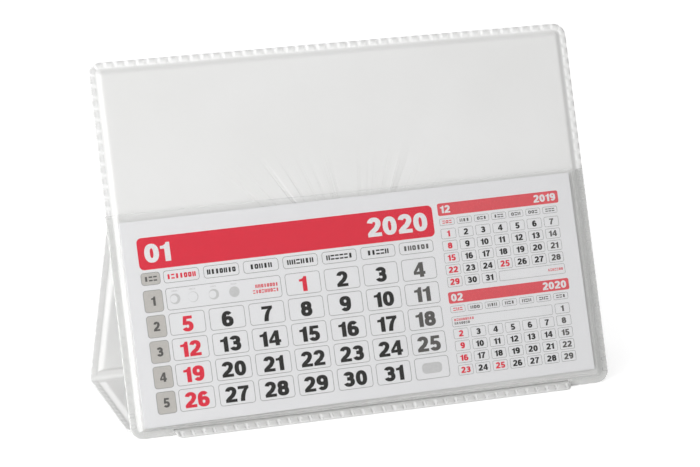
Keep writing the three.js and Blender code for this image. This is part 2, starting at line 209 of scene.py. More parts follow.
class Paint:
    # one material and the nodes that are added to it
    def __init__(self, name):
        self.material = bpy.data.materials.new(name)
        self.material.use_nodes = True
        self.tree = self.material.node_tree
        self.shader = self.tree.nodes["Principled BSDF"]

    def node(self, kind, settings=None, inputs=None, out=0):
        made = self.tree.nodes.new("ShaderNode" + kind)
        for key, value in (settings or {}).items():
            if key == "stops":
                ramp = made.color_ramp.elements
                for place, _ in value[1:-1]:
                    ramp.new(place)
                for element, (place, shade) in zip(ramp, value):
                    element.position = place
                    element.color = (shade, shade, shade, 1)
            else:
                setattr(made, key, value)
        for key, value in (inputs or {}).items():
            if isinstance(value, Wire):
                self.tree.links.new(value.socket, made.inputs[key])
            else:
                made.inputs[key].default_value = value
        return Wire(self, made.outputs[out])

    def noise(self, size, detail=2.0, roughness=0.5):
        # size is that of one lump, in millimetres
        place = self.node("TexCoord", out="Object")
        inputs = {"Vector": place, "Scale": 1 / (size * mm), "Detail": detail, "Roughness": roughness}
        return self.node("TexNoise", None, inputs)

    def ramp(self, wire, *stops):
        return self.node("ValToRGB", {"stops": stops}, {"Fac": wire})

    def blend(self, share, first, second):
        inputs = {0: share, 6: first, 7: second}
        return self.node("Mix", {"data_type": "RGBA"}, inputs, out=2)

    def attribute(self, name):
        return self.node("Attribute", {"attribute_name": name}, out=2)

    def set(self, **sockets):
        for key, value in sockets.items():
            socket = self.shader.inputs[key.replace("_", " ")]
            if isinstance(value, Wire):
                self.tree.links.new(value.socket, socket)
            else:
                socket.default_value = value

    def bump(self, height, strength, depth):
        inputs = {"Height": height, "Strength": strength, "Distance": depth * mm}
        self.set(Normal=self.node("Bump", None, inputs))

    def principled(self):
        return Wire(self, self.shader.outputs[0])

    def show(self, wire):
        self.tree.links.new(wire.socket, self.tree.nodes["Material Output"].inputs["Surface"])


looks = dict(
    # the vinyl's last two colours are painted light: a lighter one for painted highlight and a darker one for
    # painted shade
    vinyl=dict(low=(0.800, 0.800, 0.790, 1), high=(0.822, 0.822, 0.815, 1), pressed=(0.93, 0.93, 0.925, 1),
               paintedShade=(0.50, 0.50, 0.49, 1)),
    # the clear film's last share is how strongly its painted highlight whitens it
    clear=dict(low=(0.88, 0.885, 0.875, 1), high=(0.95, 0.955, 0.945, 1), gloss=0.28, milk=0.8),
    paper=dict(low=(0.825, 0.825, 0.838, 1), high=(0.855, 0.855, 0.866, 1)),
    board=dict(low=(0.34, 0.30, 0.25, 1), high=(0.46, 0.42, 0.36, 1)),
    floor=dict(low=(0.80, 0.80, 0.80, 1), high=(0.82, 0.82, 0.82, 1), glow=0.62),
)


def whiteVinyl():
    # the first attribute is painted light: it lightens the welds, the gaps between the ribs and the stand's
    # films, and also lowers their roughness; the second is painted shade on the ribs' marks, the right weld,
    # a line along the stand's weld and the tongue's ribs
    look = looks["vinyl"]
    paint = Paint("white vinyl")
    wave = paint.noise(38, 1.0)
    patch = paint.noise(9, 3.0)
    grain = paint.noise(0.35, 2.0, 0.6)
    paintedLight = paint.attribute("paintedLight")
    paintedShade = paint.attribute("paintedShade")
    tone = paint.ramp(wave, (0.3, 0.0), (0.7, 1.0))
    shade = paint.blend(tone, look["low"], look["high"])
    # painted highlight towards the lighter colour, then painted shade towards the darker one
    shade = paint.blend(paintedLight, shade, look["pressed"])
    shade = paint.blend(paintedShade, shade, look["paintedShade"])
    paint.set(Base_Color=shade, Roughness=0.42 + 0.10 * patch - 0.12 * paintedLight, IOR=1.52)
    paint.bump(wave * 0.8 + grain * 0.04, 0.25, 0.25)
    return paint.material


def clearFilm():
    # clear where it lies flat over the paper; its attribute whitens it where it bends and in the weld's gaps
    # as a painted highlight, and a little along its top edge
    look = looks["clear"]
    paint = Paint("clear film")
    wave = paint.noise(16, 2.0)
    filmHighlight = paint.attribute("filmHighlight")
    shade = paint.blend(wave, look["low"], look["high"])
    paint.set(Base_Color=shade, Roughness=0.12 + 0.08 * wave, IOR=1.5)
    paint.bump(wave, 0.3, 0.25)
    gloss = paint.node("Fresnel", None, {"IOR": 1.33})
    # the attribute's share mixes in white film as a painted highlight
    share = gloss * look["gloss"] + filmHighlight * look["milk"]
    clear = paint.node("BsdfTransparent", None, {"Color": (1.0, 1.0, 1.0, 1)})
    paint.show(paint.node("MixShader", None, {0: share, 1: clear, 2: paint.principled()}))
    return paint.material


def sheetPaper():
    paint = Paint("sheet paper")
    cloud = paint.noise(14, 3.0)
    fibre = paint.noise(0.22, 3.0, 0.7)
    shade = paint.blend(cloud, looks["paper"]["low"], looks["paper"]["high"])
    paint.set(Base_Color=shade, Roughness=0.50 + 0.12 * fibre)
    paint.bump(fibre, 0.12, 0.02)
    return paint.material


def greyBoard():
    paint = Paint("grey board")
    fleck = paint.noise(0.5, 4.0, 0.75)
    cloud = paint.noise(12, 2.0)
    shade = paint.blend(fleck, looks["board"]["low"], looks["board"]["high"])
    paint.set(Base_Color=shade, Roughness=0.85 + 0.1 * cloud)
    paint.bump(fleck, 0.4, 0.05)
    return paint.material


def ink(name, colour, spread=0.12):
    # flat print: a little mottled, with the paper's own sheen
    paint = Paint(name)
    mottle = paint.noise(0.9, 3.0, 0.65)
    darker = tuple(channel * (1 - spread) for channel in colour) + (1,)
    lighter = tuple(min(1, channel * (1 + spread)) for channel in colour) + (1,)
    paint.set(Base_Color=paint.blend(mottle, darker, lighter), Roughness=0.38 + 0.12 * mottle)
    return paint.material


def studioFloor():
    # lit and shaded as white card; a camera, glossy or clear ray adds a glow that brings it to white
    look = looks["floor"]
    paint = Paint("studio floor")
    cloud = paint.noise(300, 1.0)
    paint.set(Base_Color=paint.blend(cloud, look["low"], look["high"]), Roughness=0.9)
    kinds = ("Is Camera Ray", "Is Glossy Ray", "Is Transmission Ray")
    camera, glossy, through = (paint.node("LightPath", out=kind) for kind in kinds)
    strength = (camera + glossy + through) * look["glow"]
    glow = paint.node("Emission", None, {"Color": (1, 1, 1, 1), "Strength": strength})
    paint.show(paint.node("AddShader", None, {0: paint.principled(), 1: glow}))
    return paint.material


vinylPaint = whiteVinyl()
filmPaint = clearFilm()
paperPaint = sheetPaper()
boardPaint = greyBoard()
print("materials made")


# camera and studio

view = dict(place=(-384.07, -1103.11, 460.46), azimuth=19.149, elevation=18.736, roll=0.311, lens=159.66)


def addCamera():
    turn, tip, roll = (radians(view[key]) for key in ("azimuth", "elevation", "roll"))
    ahead = Vector((sin(turn) * cos(tip), cos(turn) * cos(tip), -sin(tip)))
    right = Vector((cos(turn), -sin(turn), 0))
    up = right.cross(ahead)
    rolledRight = right * cos(roll) + up * sin(roll)
    rolledUp = up * cos(roll) - right * sin(roll)
    camera = bpy.data.objects.new("camera", bpy.data.cameras.new("camera"))
    bpy.context.collection.objects.link(camera)
    place = Matrix((rolledRight, rolledUp, -ahead)).transposed().to_4x4()
    place.translation = Vector(view["place"]) * mm
    camera.matrix_world = place
    camera.data.lens = view["lens"]
    camera.data.sensor_width = 36
    camera.data.clip_end = 50
    bpy.context.scene.camera = camera


studio = dict(
    world=0.36, aim=(0, 0, 0.06), floorHalf=4000.0, floorLevel=-0.02,
    key=dict(place=(-1.1, -1.25, 1.15), size=1.1, power=6),
    fill=dict(place=(1.7, -1.2, 1.2), size=1.8, power=8),
    side=dict(place=(-1.35, -0.8, 0.24), size=0.7, power=20),
    back=dict(place=(-0.9, 1.6, 1.6), size=1.6, power=5),
)


def addLamp(name, values):
    lamp = bpy.data.lights.new(name, "AREA")
    lamp.size = values["size"]
    lamp.energy = values["power"]
    holder = bpy.data.objects.new(name, lamp)
    bpy.context.collection.objects.link(holder)
    holder.location = values["place"]
    aim = Vector(studio["aim"]) - Vector(values["place"])
    holder.rotation_euler = aim.to_track_quat("-Z", "Y").to_euler()


def addStudio():
    world = bpy.data.worlds.new("studio")
    bpy.context.scene.world = world
    world.use_nodes = True
    tree = world.node_tree
    plain = tree.nodes["Background"]
    plain.inputs[0].default_value = (1, 1, 1, 1)
    plain.inputs[1].default_value = studio["world"]
    white = tree.nodes.new("ShaderNodeBackground")
    rays = tree.nodes.new("ShaderNodeLightPath")
    pick = tree.nodes.new("ShaderNodeMixShader")
    sources = (rays.outputs["Is Camera Ray"], plain.outputs[0], white.outputs[0])
    for source, target in zip(sources, pick.inputs):
        tree.links.new(source, target)
    tree.links.new(pick.outputs[0], tree.nodes["World Output"].inputs[0])
    for name in ("key", "fill", "side", "back"):
        addLamp(name, studio[name])
    half, z = studio["floorHalf"], studio["floorLevel"]
    corners = np.array([(-half, -half, z), (half, -half, z), (half, half, z), (-half, half, z)])
    floor = makeObject("floor", corners, [np.array([[0, 1, 2, 3]])], studioFloor())


addCamera()
addStudio()
bpy.context.scene.view_settings.view_transform = "Standard"
print("camera and studio placed")


# the ribbed weld

def padShape(walked, pitch, length=weld["pad"]):
    # 1 on a pad and 0 in the gap between two, with soft ends
    along = (walked / pitch) % 1.0
    fromMiddle = np.abs(along - 0.5) * pitch
    return 1 - smooth((fromMiddle - length / 2 + weld["bevel"] / 2) / weld["bevel"])


def weldHeight(inset, pads):
    # pads stand up between the film's edge and the weld's inner line; gaps are pressed down a little
    starts = smooth((inset - weld["padStart"]) / weld["startSoft"])
    across = starts * (1 - smooth((inset - weld["padEnd"]) / weld["endSoft"]))
    return across * (weld["rise"] * pads - weld["pressed"] * (1 - pads))


def gapShare(inset, pads):
    # 1 in the gaps between the pads, 0 at the film's edge and further in than the pads reach
    starts = (1 - pads) * smooth(inset / weld["gapStart"])
    return starts * (1 - smooth((inset - weld["gapEnd"]) / weld["endSoft"]))


def rimDrop(inset, depth=film["rim"]):
    # how far the film's edge is rounded off
    return depth * (1 - smooth(inset / film["rim"]))


def edgeFade(inset):
    # 1 at the film's edge and 0 from the weld's inner line on
    return np.clip(1 - inset / weld["width"], 0, 1)


def waves(u, v, size, height, seed):
    # slow unevenness: a sum of a few sines with fixed directions
    draws = np.random.default_rng(seed)
    total = np.zeros(np.broadcast(u, v).shape)
    count = 5
    for _ in range(count):
        angle, phase = draws.uniform(0, pi), draws.uniform(0, 2 * pi)
        length = size * draws.uniform(0.7, 1.6)
        total += np.sin((u * cos(angle) + v * sin(angle)) * 2 * pi / length + phase)
    return total * height / count


# distances in from a film's edge: dense over the ribs, then over the slope, then sparse to the middle
edgeInsets = [0, 0.1, 0.35, 0.7, 1.2, 1.7, 2.0, 2.25]
slopeInsets = [2.5, 2.9, 3.3, 3.7, 4.1, 4.5, 5.0, 5.6]
ringInsets = np.array(edgeInsets + slopeInsets + [7.0, 11.0, 20.0, 40.0, 72.6])
nearInsets = np.array([0, 1.2, 2.4, 3.0, 3.7, 4.4, 5.0, 9.0, 30.0, 72.6])


def mirrored(insets):
    # columns from the left edge to the right one: their insets, and -1 on the left or 1 on the right
    sign = chain(-np.ones(len(insets)), np.ones(len(insets)))
    return chain(insets, insets[::-1])[None, :], sign[None, :]


def outlineSamples(spacing=0.45, arcSteps=16):
    # where each sample lies: its side, its share of the straight or of the corner, and the distance walked
    sides, shares, isArc, walked = [], [], [], []
    straights = [panel["height"] - 2 * panel["corner"], panel["width"] - 2 * panel["corner"]] * 2
    arc = panel["corner"] * pi / 2
    total = 0.0
    for side, length in enumerate(straights):
        for count, span, arcPart in ((int(length / spacing), length, False), (arcSteps, arc, True)):
            t = np.arange(count) / count
            sides.append(np.full(count, side))
            shares.append(t)
            isArc.append(np.full(count, arcPart))
            walked.append(total + t * span)
            total += span
    return [chain(*x) for x in (sides, shares, isArc, walked)] + [total]


def outlineGrid(insets, samples, spread):
    # rings of the panel's outline, one for each inset; spread pushes the outer rings out at the pads
    side, share, isArc = samples[:3]
    d = insets[:, None] - spread
    r = np.maximum(panel["corner"] - d, panel["leastCorner"])
    right = panelHalf - d - r
    low, high = d + r, panel["height"] - d - r

    def ofSide(*values):
        # values for the right, top, left and bottom sides; each sample takes its own side's
        return np.take_along_axis(np.stack(values), side[None, None, :].repeat(d.shape[0], 1), 0)[0]

    cornerX, cornerY = ofSide(right, -right, -right, right), ofSide(high, high, low, low)
    startX, startY = ofSide(right, right, -right, -right), ofSide(low, high, high, low)
    x = np.where(isArc, cornerX, startX + (cornerX - startX) * share)
    y = np.where(isArc, cornerY, startY + (cornerY - startY) * share)
    outAngle = side * pi / 2 + np.where(isArc, share * pi / 2, 0.0)
    return x + r * np.cos(outAngle), y + r * np.sin(outAngle)


def panelFilm(name, facing, ribbed):
    look = panelLook
    samples = outlineSamples()
    walked, total = samples[3:]
    pitch = total / round(total / weld["pitch"])
    hemMiddle = total - panel["corner"] * pi / 2 - (panelHalf - panel["corner"])
    pads = padShape(walked - hemMiddle, pitch)[None, :]
    d = ringInsets[:, None]
    u, v = outlineGrid(ringInsets, samples, panel["proud"] * pads * edgeFade(d))
    climb = boardRise * smooth((d - weld["width"]) / weld["slope"])
    bare = 1 - (smooth((pocket["top"] - v) / 1.5) if ribbed else 0.0)
    ribs = weldHeight(d, pads) * bare * (1.0 if ribbed else look["backRibs"])
    uneven = waves(u, v, look["wave"], look["waveHeight"], 3 if facing > 0 else 4)
    uneven = uneven * smooth((d - look["waveFrom"]) / 10)
    n = filmInner + film["vinyl"] + climb + ribs - rimDrop(d) + uneven
    outer = panelPoint(u, v, facing * n)

    # the side that faces the board has no ribs, so it has fewer rings
    dn = nearInsets[:, None]
    un, vn = outlineGrid(nearInsets, samples, panel["proud"] * pads * np.clip(1 - dn, 0, 1))
    nn = filmInner + boardRise * smooth((dn - weld["width"]) / weld["slope"]) + 0 * un
    inner = panelPoint(un, vn, facing * nn)
    rows, columns = outer.shape[:2]
    near = inner.shape[0]
    points = chain(outer.reshape(-1, 3), inner.reshape(-1, 3))
    top = gridFaces(rows, columns, 0, True)
    under = gridFaces(near, columns, rows * columns, True)[:, ::-1]
    edge = np.arange(columns)
    after = np.roll(edge, -1)
    wall = stacked(after, edge, edge + rows * columns, after + rows * columns)
    cap = (rows - 1) * columns + edge
    lid = (rows + near - 1) * columns + edge
    faces = turnOut(points, [chain(top, under, wall), cap[None, :], lid[None, ::-1]])

    # painted highlight: the weld's rim and the gaps between its ribs are lightened
    gaps = gapShare(d, pads) * bare * (1.0 if ribbed else look["backGaps"])
    weldAndGapLight = look["weldHighlight"] * (1 - smooth((d - 2.2) / 0.4)) * bare + look["gapHighlight"] * gaps
    # painted shade: dark marks on the ribs' outer part, and the weld darker towards the right side
    marks = padShape(walked - hemMiddle, pitch, look["markLength"])[None, :] * (1 - smooth((d - 0.9) / 0.5))
    toRight = smooth((u - panelHalf + 8) / 6) * (1 - smooth((d - 2.2) / 0.6))
    shaded = (look["markShade"] * marks + look["rightShade"] * toRight) * bare
    plain = np.zeros(near * columns)
    values = {"paintedLight": chain((weldAndGapLight + 0 * u).ravel(), plain), "paintedShade": chain(shaded.ravel(), plain)}
    return makeObject(name, points, faces, vinylPaint, values=values)


def cutSlit(piece):
    # the slit for the tongue, cut through the hem
    half = tongue["width"] / 2 + tongue["slitSide"]
    behind, before = -6.0, 8.0
    u, v, n = np.meshgrid((-half, half), (-0.5, 0.5), (behind, before), indexing="ij")
    corners = panelPoint(u, tongue["slitAt"] + v * tongue["slitHeight"], n).reshape(-1, 3)
    quads = np.array([[0, 1, 3, 2], [4, 6, 7, 5], [0, 4, 5, 1], [2, 3, 7, 6], [0, 2, 6, 4], [1, 5, 7, 3]])
    cutter = makeObject("slitCutter", corners, turnOut(corners, [quads]), vinylPaint, False)
    cut = piece.modifiers.new("slit", "BOOLEAN")
    cut.operation = "DIFFERENCE"
    cut.solver = "MANIFOLD"
    cut.object = cutter
    applied = bpy.data.meshes.new_from_object(piece.evaluated_get(bpy.context.evaluated_depsgraph_get()))
    # the export splits a face of many corners along lines that its neighbour may use too, so it is split here
    split = bmesh.new()
    split.from_mesh(applied)
    bmesh.ops.triangulate(split, faces=split.faces)
    split.to_mesh(applied)
    split.free()
    piece.modifiers.clear()
    piece.data = applied
    bpy.data.objects.remove(cutter)


frontFace = panelFilm("frontFace", 1, True)
frontBack = panelFilm("frontBack", -1, False)
for piece, node in ((frontFace, "front_face_vinyl"), (frontBack, "front_back_vinyl")):
    cutSlit(piece)
    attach(piece, body)
    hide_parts(node)
print("panel films made")


# the clear pocket

def pocketFilm():
    side = chain(edgeInsets, np.arange(2.4, 7.0, 0.22), [7.4, 8.5, 11], np.linspace(15, 94, 28))
    hem = chain([0, 0.1, 0.4, 0.8, 1.3, 1.8, 2.2], np.arange(2.5, 4.0, 0.14))
    v = chain(hem, np.arange(4.2, 86.8, 0.45), [86.85, 87.0])[:, None]
    corner = panel["corner"]
    rounding = np.where(v < corner, corner - np.sqrt(np.maximum(corner**2 - (corner - v) ** 2, 0)), 0)
    half = np.maximum(panelHalf - rounding, panelHalf - corner)
    inset, sign = mirrored(side)
    pads = padShape(v - corner + 0 * inset, weld["pitch"])
    u = sign * (half - inset + panel["proud"] * pads * edgeFade(inset) * smooth(v / corner))

    # the film climbs from its weld onto the stack of sheets
    slope = np.where(sign < 0, pocket["leftSlope"], pocket["rightSlope"])
    climbSide = (inset - weld["width"]) / slope
    climbHem = (v - pocket["hemWeld"]) / pocket["hemSlope"]
    start = filmInner + film["vinyl"] + film["gap"]
    rise = faceOuter + 2 * film["gap"] + stackThick - start
    climb = rise * smooth(np.minimum(climbSide, climbHem))
    plainShare = np.where(sign < 0, pocket["leftRibs"], pocket["rightRibs"])
    ribbed = (plainShare + (1 - plainShare) * (1 - smooth((v - 6) / 8))) * smooth((v - 2.0) / 2.0)
    ribs = weldHeight(inset, pads) * ribbed
    fromWeld = np.minimum(inset, v) - weld["width"]
    uneven = waves(u, v, pocket["wave"], pocket["waveHeight"], 9) * smooth(fromWeld / 6)
    crinkle = np.abs(waves(u, v * 3, pocket["crinkle"], pocket["crinkleHeight"], 15)) * smooth(v / 1.2)
    crinkle = crinkle * (1 - smooth((v - 3.6) / 1.2)) * smooth((inset - 1) / 4)
    near = start + climb + uneven * 0.5 + crinkle + 0 * u
    far = near + film["clear"] + ribs

    # painted highlight: the film is whitened on its slopes and in the weld's gaps, and a little along its top
    # edge
    overPaper = smooth((inset - weld["width"] - slope + 0.6) / 0.8)
    overPaper = overPaper * smooth((v - pocket["hemWeld"] - pocket["hemSlope"] + 0.2) / 0.6)
    gaps = gapShare(inset, pads) * ribbed
    atTop = 1 - smooth((pocket["top"] - v) / 0.5)
    filmHighlight = pocket["slopeHighlight"] * (1 - overPaper) + pocket["gapFilmHighlight"] * gaps + pocket["topEdgeWhite"] * atTop
    filmHighlight = (filmHighlight + 0 * u).ravel()
    points, faces = sheetShell(panelPoint(u, v + 0 * u, far), panelPoint(u, v + 0 * u, near))
    values = {"filmHighlight": chain(filmHighlight, filmHighlight)}
    return makeObject("pocketFilm", points, turnOut(points, faces), filmPaint, values=values)


pocketPiece = pocketFilm()
cutSlit(pocketPiece)
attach(pocketPiece, body)
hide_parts("pocket_film")
print("pocket film made")


# the folded stand

def standPath():
    # the welded pair's middle line seen from the side, as back and up: straight runs and rounded folds
    def onPanel(v, n):
        return panelPoint(0.0, v, n)[1:]

    pair = 2 * film["vinyl"] + film["gap"]
    behind = -(faceOuter + film["gap"] + pair / 2)
    slit = onPanel(tongue["slitAt"], filmInner)
    corners = [
        (onPanel(stand["legTop"] + stand["flange"], behind), 0),
        (onPanel(stand["legTop"], behind), stand["fold"]),
        (np.array([hemY + stand["footDepth"], faceOuter]), stand["fold"]),
        (np.array([hemY + stand["shoulder"] + weld["width"], faceOuter]), 2 * stand["fold"]),
        (np.array([slit[0] + tongue["levelBehind"], slit[1]]), stand["fold"]),
        (np.array([slit[0] - tongue["levelFront"], slit[1]]), stand["fold"]),
        (np.array([hemY - tongue["reach"], pair / 2 + tongue["tipLift"]]), 0),
    ]
    parts = []
    start = corners[0][0]
    for (corner, radius), (following, _) in zip(corners[1:], corners[2:]):
        back = (start - corner) / np.linalg.norm(start - corner)
        onward = following - corner
        onward = onward / np.linalg.norm(onward)
        half = acos(float(np.dot(back, onward))) / 2
        reach = radius / tan(half)
        first, last = corner + back * reach, corner + onward * reach
        parts.append(straightRun(start, first))
        middle = (back + onward) / np.linalg.norm(back + onward)
        centre = corner + middle * radius / sin(half)
        a0 = atan2(*(first - centre)[::-1])
        a1 = atan2(*(last - centre)[::-1])
        sweep = (a1 - a0 + pi) % (2 * pi) - pi
        angles = a0 + sweep * np.arange(stand["foldSteps"]) / stand["foldSteps"]
        parts.append(centre + radius * stacked(np.cos(angles), np.sin(angles)))
        start = last
    parts.append(straightRun(start, corners[-1][0], True))
    return parts


def straightRun(start, end, isLast=False):
    # only the last run holds its own end, because a fold starts there otherwise
    count = max(2, int(np.linalg.norm(end - start) / stand["spacing"]))
    t = np.arange(count + (1 if isLast else 0)) / count
    return start + (end - start) * t[:, None]


pathParts = standPath()
path = chain(*pathParts)
pathAhead = np.gradient(path, axis=0)
pathAhead /= np.linalg.norm(pathAhead, axis=1, keepdims=True)
pathNormal = stacked(pathAhead[:, 1], -pathAhead[:, 0])
pathWalked = chain([0], np.cumsum(np.linalg.norm(np.diff(path, axis=0), axis=1)))
partEnds = np.cumsum([len(part) for part in pathParts])
legRun = (pathWalked[partEnds[1]], pathWalked[partEnds[2]])
baseRun = (pathWalked[partEnds[3]], pathWalked[partEnds[4]])
shoulderSpot = baseRun[1] + weld["width"] * stand["shoulderShare"]


def standWidth(s):
    # half the stand's width: rounded at the flange and at the base's shoulders
    corner = panel["corner"]
    toShoulder = np.clip(corner - (shoulderSpot - s), 0, corner)
    toTop = np.clip(corner / 2 - s, 0, corner / 2)
    half = panelHalf - (corner - np.sqrt(corner**2 - toShoulder**2))
    return half - (corner / 2 - np.sqrt((corner / 2) ** 2 - toTop**2))


def standShell(rows, u, side, face, near):
    # a film on one side of the path: grids that run across it, pushed out along its normal
    grids = []
    for out in (side * face, side * near):
        y = path[rows, 0][:, None] + pathNormal[rows, 0][:, None] * out
        z = path[rows, 1][:, None] + pathNormal[rows, 1][:, None] * out
        grids.append(stacked(u + 0 * y, y, z))
    points, faces = sheetShell(*grids)
    return points, turnOut(points, faces)


def boardShare(s, run, lower, upper):
    # how far a place lies inside a run's board, in widths of the slope
    start, end = run[0] + lower, run[1] - upper
    return np.minimum(s - start, end - s) / weld["slope"]


def runShare(s, run):
    # 1 on a run, with soft ends
    return smooth((s - run[0]) / 0.8) * smooth((run[1] - s) / 0.8)


def standFilm(name, side):
    isInner = side > 0
    rows = np.arange(np.searchsorted(pathWalked, shoulderSpot))
    s = pathWalked[rows][:, None]
    inset, sign = mirrored(chain(edgeInsets, slopeInsets, [7.5], np.linspace(12, 96, 24)))
    flat = stand["flat"]
    boards = np.maximum(boardShare(s, legRun, flat, flat), boardShare(s, baseRun, flat, flat / 2))
    deep = np.minimum(boards, (inset - weld["width"]) / weld["slope"])
    climb = boardRise * smooth(deep)
    onRun = np.maximum(runShare(s, legRun), runShare(s, baseRun))
    pads = padShape(s - legRun[0] - stand["firstPad"], weld["pitch"])
    ribbed = np.where(s < legRun[1], stand["legRibs"], stand["baseRibs"]) if isInner else stand["outerRibs"]
    ribs = weldHeight(inset, pads) * onRun * ribbed
    u = sign * (standWidth(s) - inset + panel["proud"] * pads * edgeFade(inset) * onRun)
    uneven = waves(u, s, stand["wave"], stand["waveHeight"], 12 if isInner else 13) * smooth((deep - 1) / 3)
    if not isInner:
        # the base's underside stays flat
        uneven = uneven * smooth((baseRun[0] - s) / 3)
    face = filmInner + film["vinyl"] + climb + ribs + uneven - rimDrop(inset)
    near = filmInner + climb
    # painted light: the gaps between the ribs and the whole leg and base are lightened, the base more than
    # the leg
    gaps = gapShare(inset, pads) * onRun * ribbed + 0 * u
    standLight = stand["legLight"] + stand["baseLight"] * smooth(s - baseRun[0]) + 0 * u
    # painted shade: a dark line along the weld's inner edge, on the inner film only
    weldLineShade = stand["edgeShade"] * (1 - smooth(np.abs(inset - weld["width"]) / 0.45)) * onRun
    weldLineShade = weldLineShade * (1.0 if isInner else 0.0) + 0 * u
    # the tongue brings its own painted highlight and painted shade
    *tongueShell, tongueLight, tongueShade = tongueFilm(side)
    points, faces = joinParts([standShell(rows, u, side, face, near), tongueShell])
    values = {
        "paintedLight": chain((standLight + stand["gapHighlight"] * gaps).ravel(), standLight.ravel(), tongueLight),
        "paintedShade": chain(weldLineShade.ravel(), np.zeros(u.size), tongueShade),
    }
    return makeObject(name, points, faces, vinylPaint, values=values)


def tongueFilm(side):
    rows = np.arange(np.searchsorted(pathWalked, shoulderSpot) - 2, len(path))
    toTip = pathWalked[-1] - pathWalked[rows][:, None]
    tip = tongue["tip"]
    pull = np.clip(tip - toTip, 0, tip)
    half = tongue["width"] / 2 - (tip - np.sqrt(tip**2 - pull**2 * tongue["tipShare"]))
    u = np.linspace(-1, 1, tongue["columns"])[None, :] * half
    pads = padShape(u + weld["pitch"] / 2, weld["pitch"]) * smooth((tongue["width"] / 2 - np.abs(u)) / 2)
    starts = smooth((toTip - weld["padStart"]) / weld["startSoft"])
    across = starts * (1 - smooth((toTip - tongue["padEnd"]) / weld["endSoft"]))
    onTop = 1.0 if side > 0 else 0.0
    ribs = across * (weld["rise"] * pads - tongue["pressed"] * (1 - pads)) * onTop
    face = filmInner + film["vinyl"] + ribs - rimDrop(toTip, tongue["rim"]) + 0 * u
    near = filmInner + 0 * u
    # painted highlight in the gaps between the ribs; painted shade on the pads and more on their ridges
    gaps = (1 - pads) * across * onTop + 0 * u
    ridges = 4 * pads * (1 - pads) * across
    shaded = (tongue["padShade"] * pads * across + tongue["ridgeShade"] * ridges) * onTop + 0 * u
    plain = np.zeros(u.size)
    return *standShell(rows, u, side, face, near), chain(gaps.ravel(), plain), chain(shaded.ravel(), plain)


for name, node, side in (("standInner", "stand_inner_vinyl", 1), ("standOuter", "stand_outer_vinyl", -1)):
    piece = standFilm(name, side)
    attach(piece, body)
    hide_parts(node)
print("stand films made")


# the sheets and boards keep their solids

def repaint(node, paint):
    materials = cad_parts[node].data.materials
    materials.clear()
    materials.append(paint)


for number in range(stack["count"]):
    repaint(f"month_sheet_{number + 1:02d}", paperPaint)
for node in ("front_board", "leg_board", "base_board"):
    repaint(node, boardPaint)


# print on the first sheet; places are in millimetres from its top left corner

sheetFace = faceOuter + film["gap"] + (stack["count"] - 0.5) * sheetPitch + stack["paper"] / 2
inkLift = 0.006
inkThick = 0.012


def layerLow(layer):
    # the underside of the plates in a layer of print
    return sheetFace + inkLift + layer * (inkThick + inkLift)


def sheetPoint(x, y, n):
    # x to the right and y down from the sheet's corner, turned with the stack
    tilt = radians(stack["tilt"])
    a, b = x - stack["width"] / 2, stack["height"] / 2 - y
    u = stack["aside"] + a * cos(tilt) - b * sin(tilt)
    v = stack["above"] + stack["height"] / 2 + a * sin(tilt) + b * cos(tilt)
    return panelPoint(u, v, n)


def roundedLoop(x, y, w, h, radius, steps=4):
    # corners as quarter circles, walked round once
    radius = min(radius, w / 2, h / 2)
    angles = np.concatenate([np.linspace(k, k + 1, steps + 1) for k in range(4)]) * pi / 2
    cx = np.repeat([x + w - radius, x + radius, x + radius, x + w - radius], steps + 1)
    cy = np.repeat([y + h - radius, y + h - radius, y + radius, y + radius], steps + 1)
    return stacked(cx + radius * np.cos(angles), cy + radius * np.sin(angles))


def circleLoop(x, y, radius, steps=28):
    angles = np.arange(steps) / steps * 2 * pi
    return stacked(x + radius * np.cos(angles), y + radius * np.sin(angles))


def flatShape(loop, layer=0):
    # a thin closed plate in the loop's outline
    low = layerLow(layer)
    under = sheetPoint(loop[:, 0], loop[:, 1], low)
    top = sheetPoint(loop[:, 0], loop[:, 1], low + inkThick)
    count = len(loop)
    edge = np.arange(count)
    after = np.roll(edge, -1)
    points = chain(under, top)
    wall = stacked(after, edge, edge + count, after + count)
    return points, turnOut(points, [edge[None, :], edge[None, ::-1] + count, wall])


def frameShape(x, y, w, h, radius, line, layer=0):
    # a thin outline: the band between two rounded loops
    outer = roundedLoop(x, y, w, h, radius)
    inner = roundedLoop(x + line, y + line, w - 2 * line, h - 2 * line, radius - line)
    low = layerLow(layer)
    high = low + inkThick
    rings = ((outer, low), (outer, high), (inner, high), (inner, low))
    points = np.concatenate([sheetPoint(loop[:, 0], loop[:, 1], level) for loop, level in rings])
    count = len(outer)
    edge = np.arange(count)
    after = np.roll(edge, -1)
    walls = []
    for k in range(4):
        this, following = k * count, (k + 1) % 4 * count
        walls.append(stacked(edge + this, after + this, after + following, edge + following))
    return points, turnOut(points, [chain(*walls)])


# digits in a cell one unit high, each a few strokes of even thickness that are fused
digit = dict(wide=0.62, stroke=0.238, stretch=1.28, gap=0.07, waist=0.53, squared=0.88, arcStep=17)


def arc(x, y, width, height, start, end):
    # part of a squarish oval, in degrees
    steps = max(4, round(abs(end - start) / digit["arcStep"]))
    angles = np.radians(np.linspace(start, end, steps + 1))
    c, s = np.cos(angles), np.sin(angles)
    aside = x + width * np.sign(c) * np.abs(c) ** digit["squared"]
    above = y + height * np.sign(s) * np.abs(s) ** digit["squared"]
    return stacked(aside, above)


def ribbon(line):
    # the outline of an open stroke
    way = np.gradient(line, axis=0)
    way /= np.linalg.norm(way, axis=1, keepdims=True)
    aside = stacked(-way[:, 1], way[:, 0]) * digit["stroke"] / 2
    return [chain(line + aside, (line - aside)[::-1])]


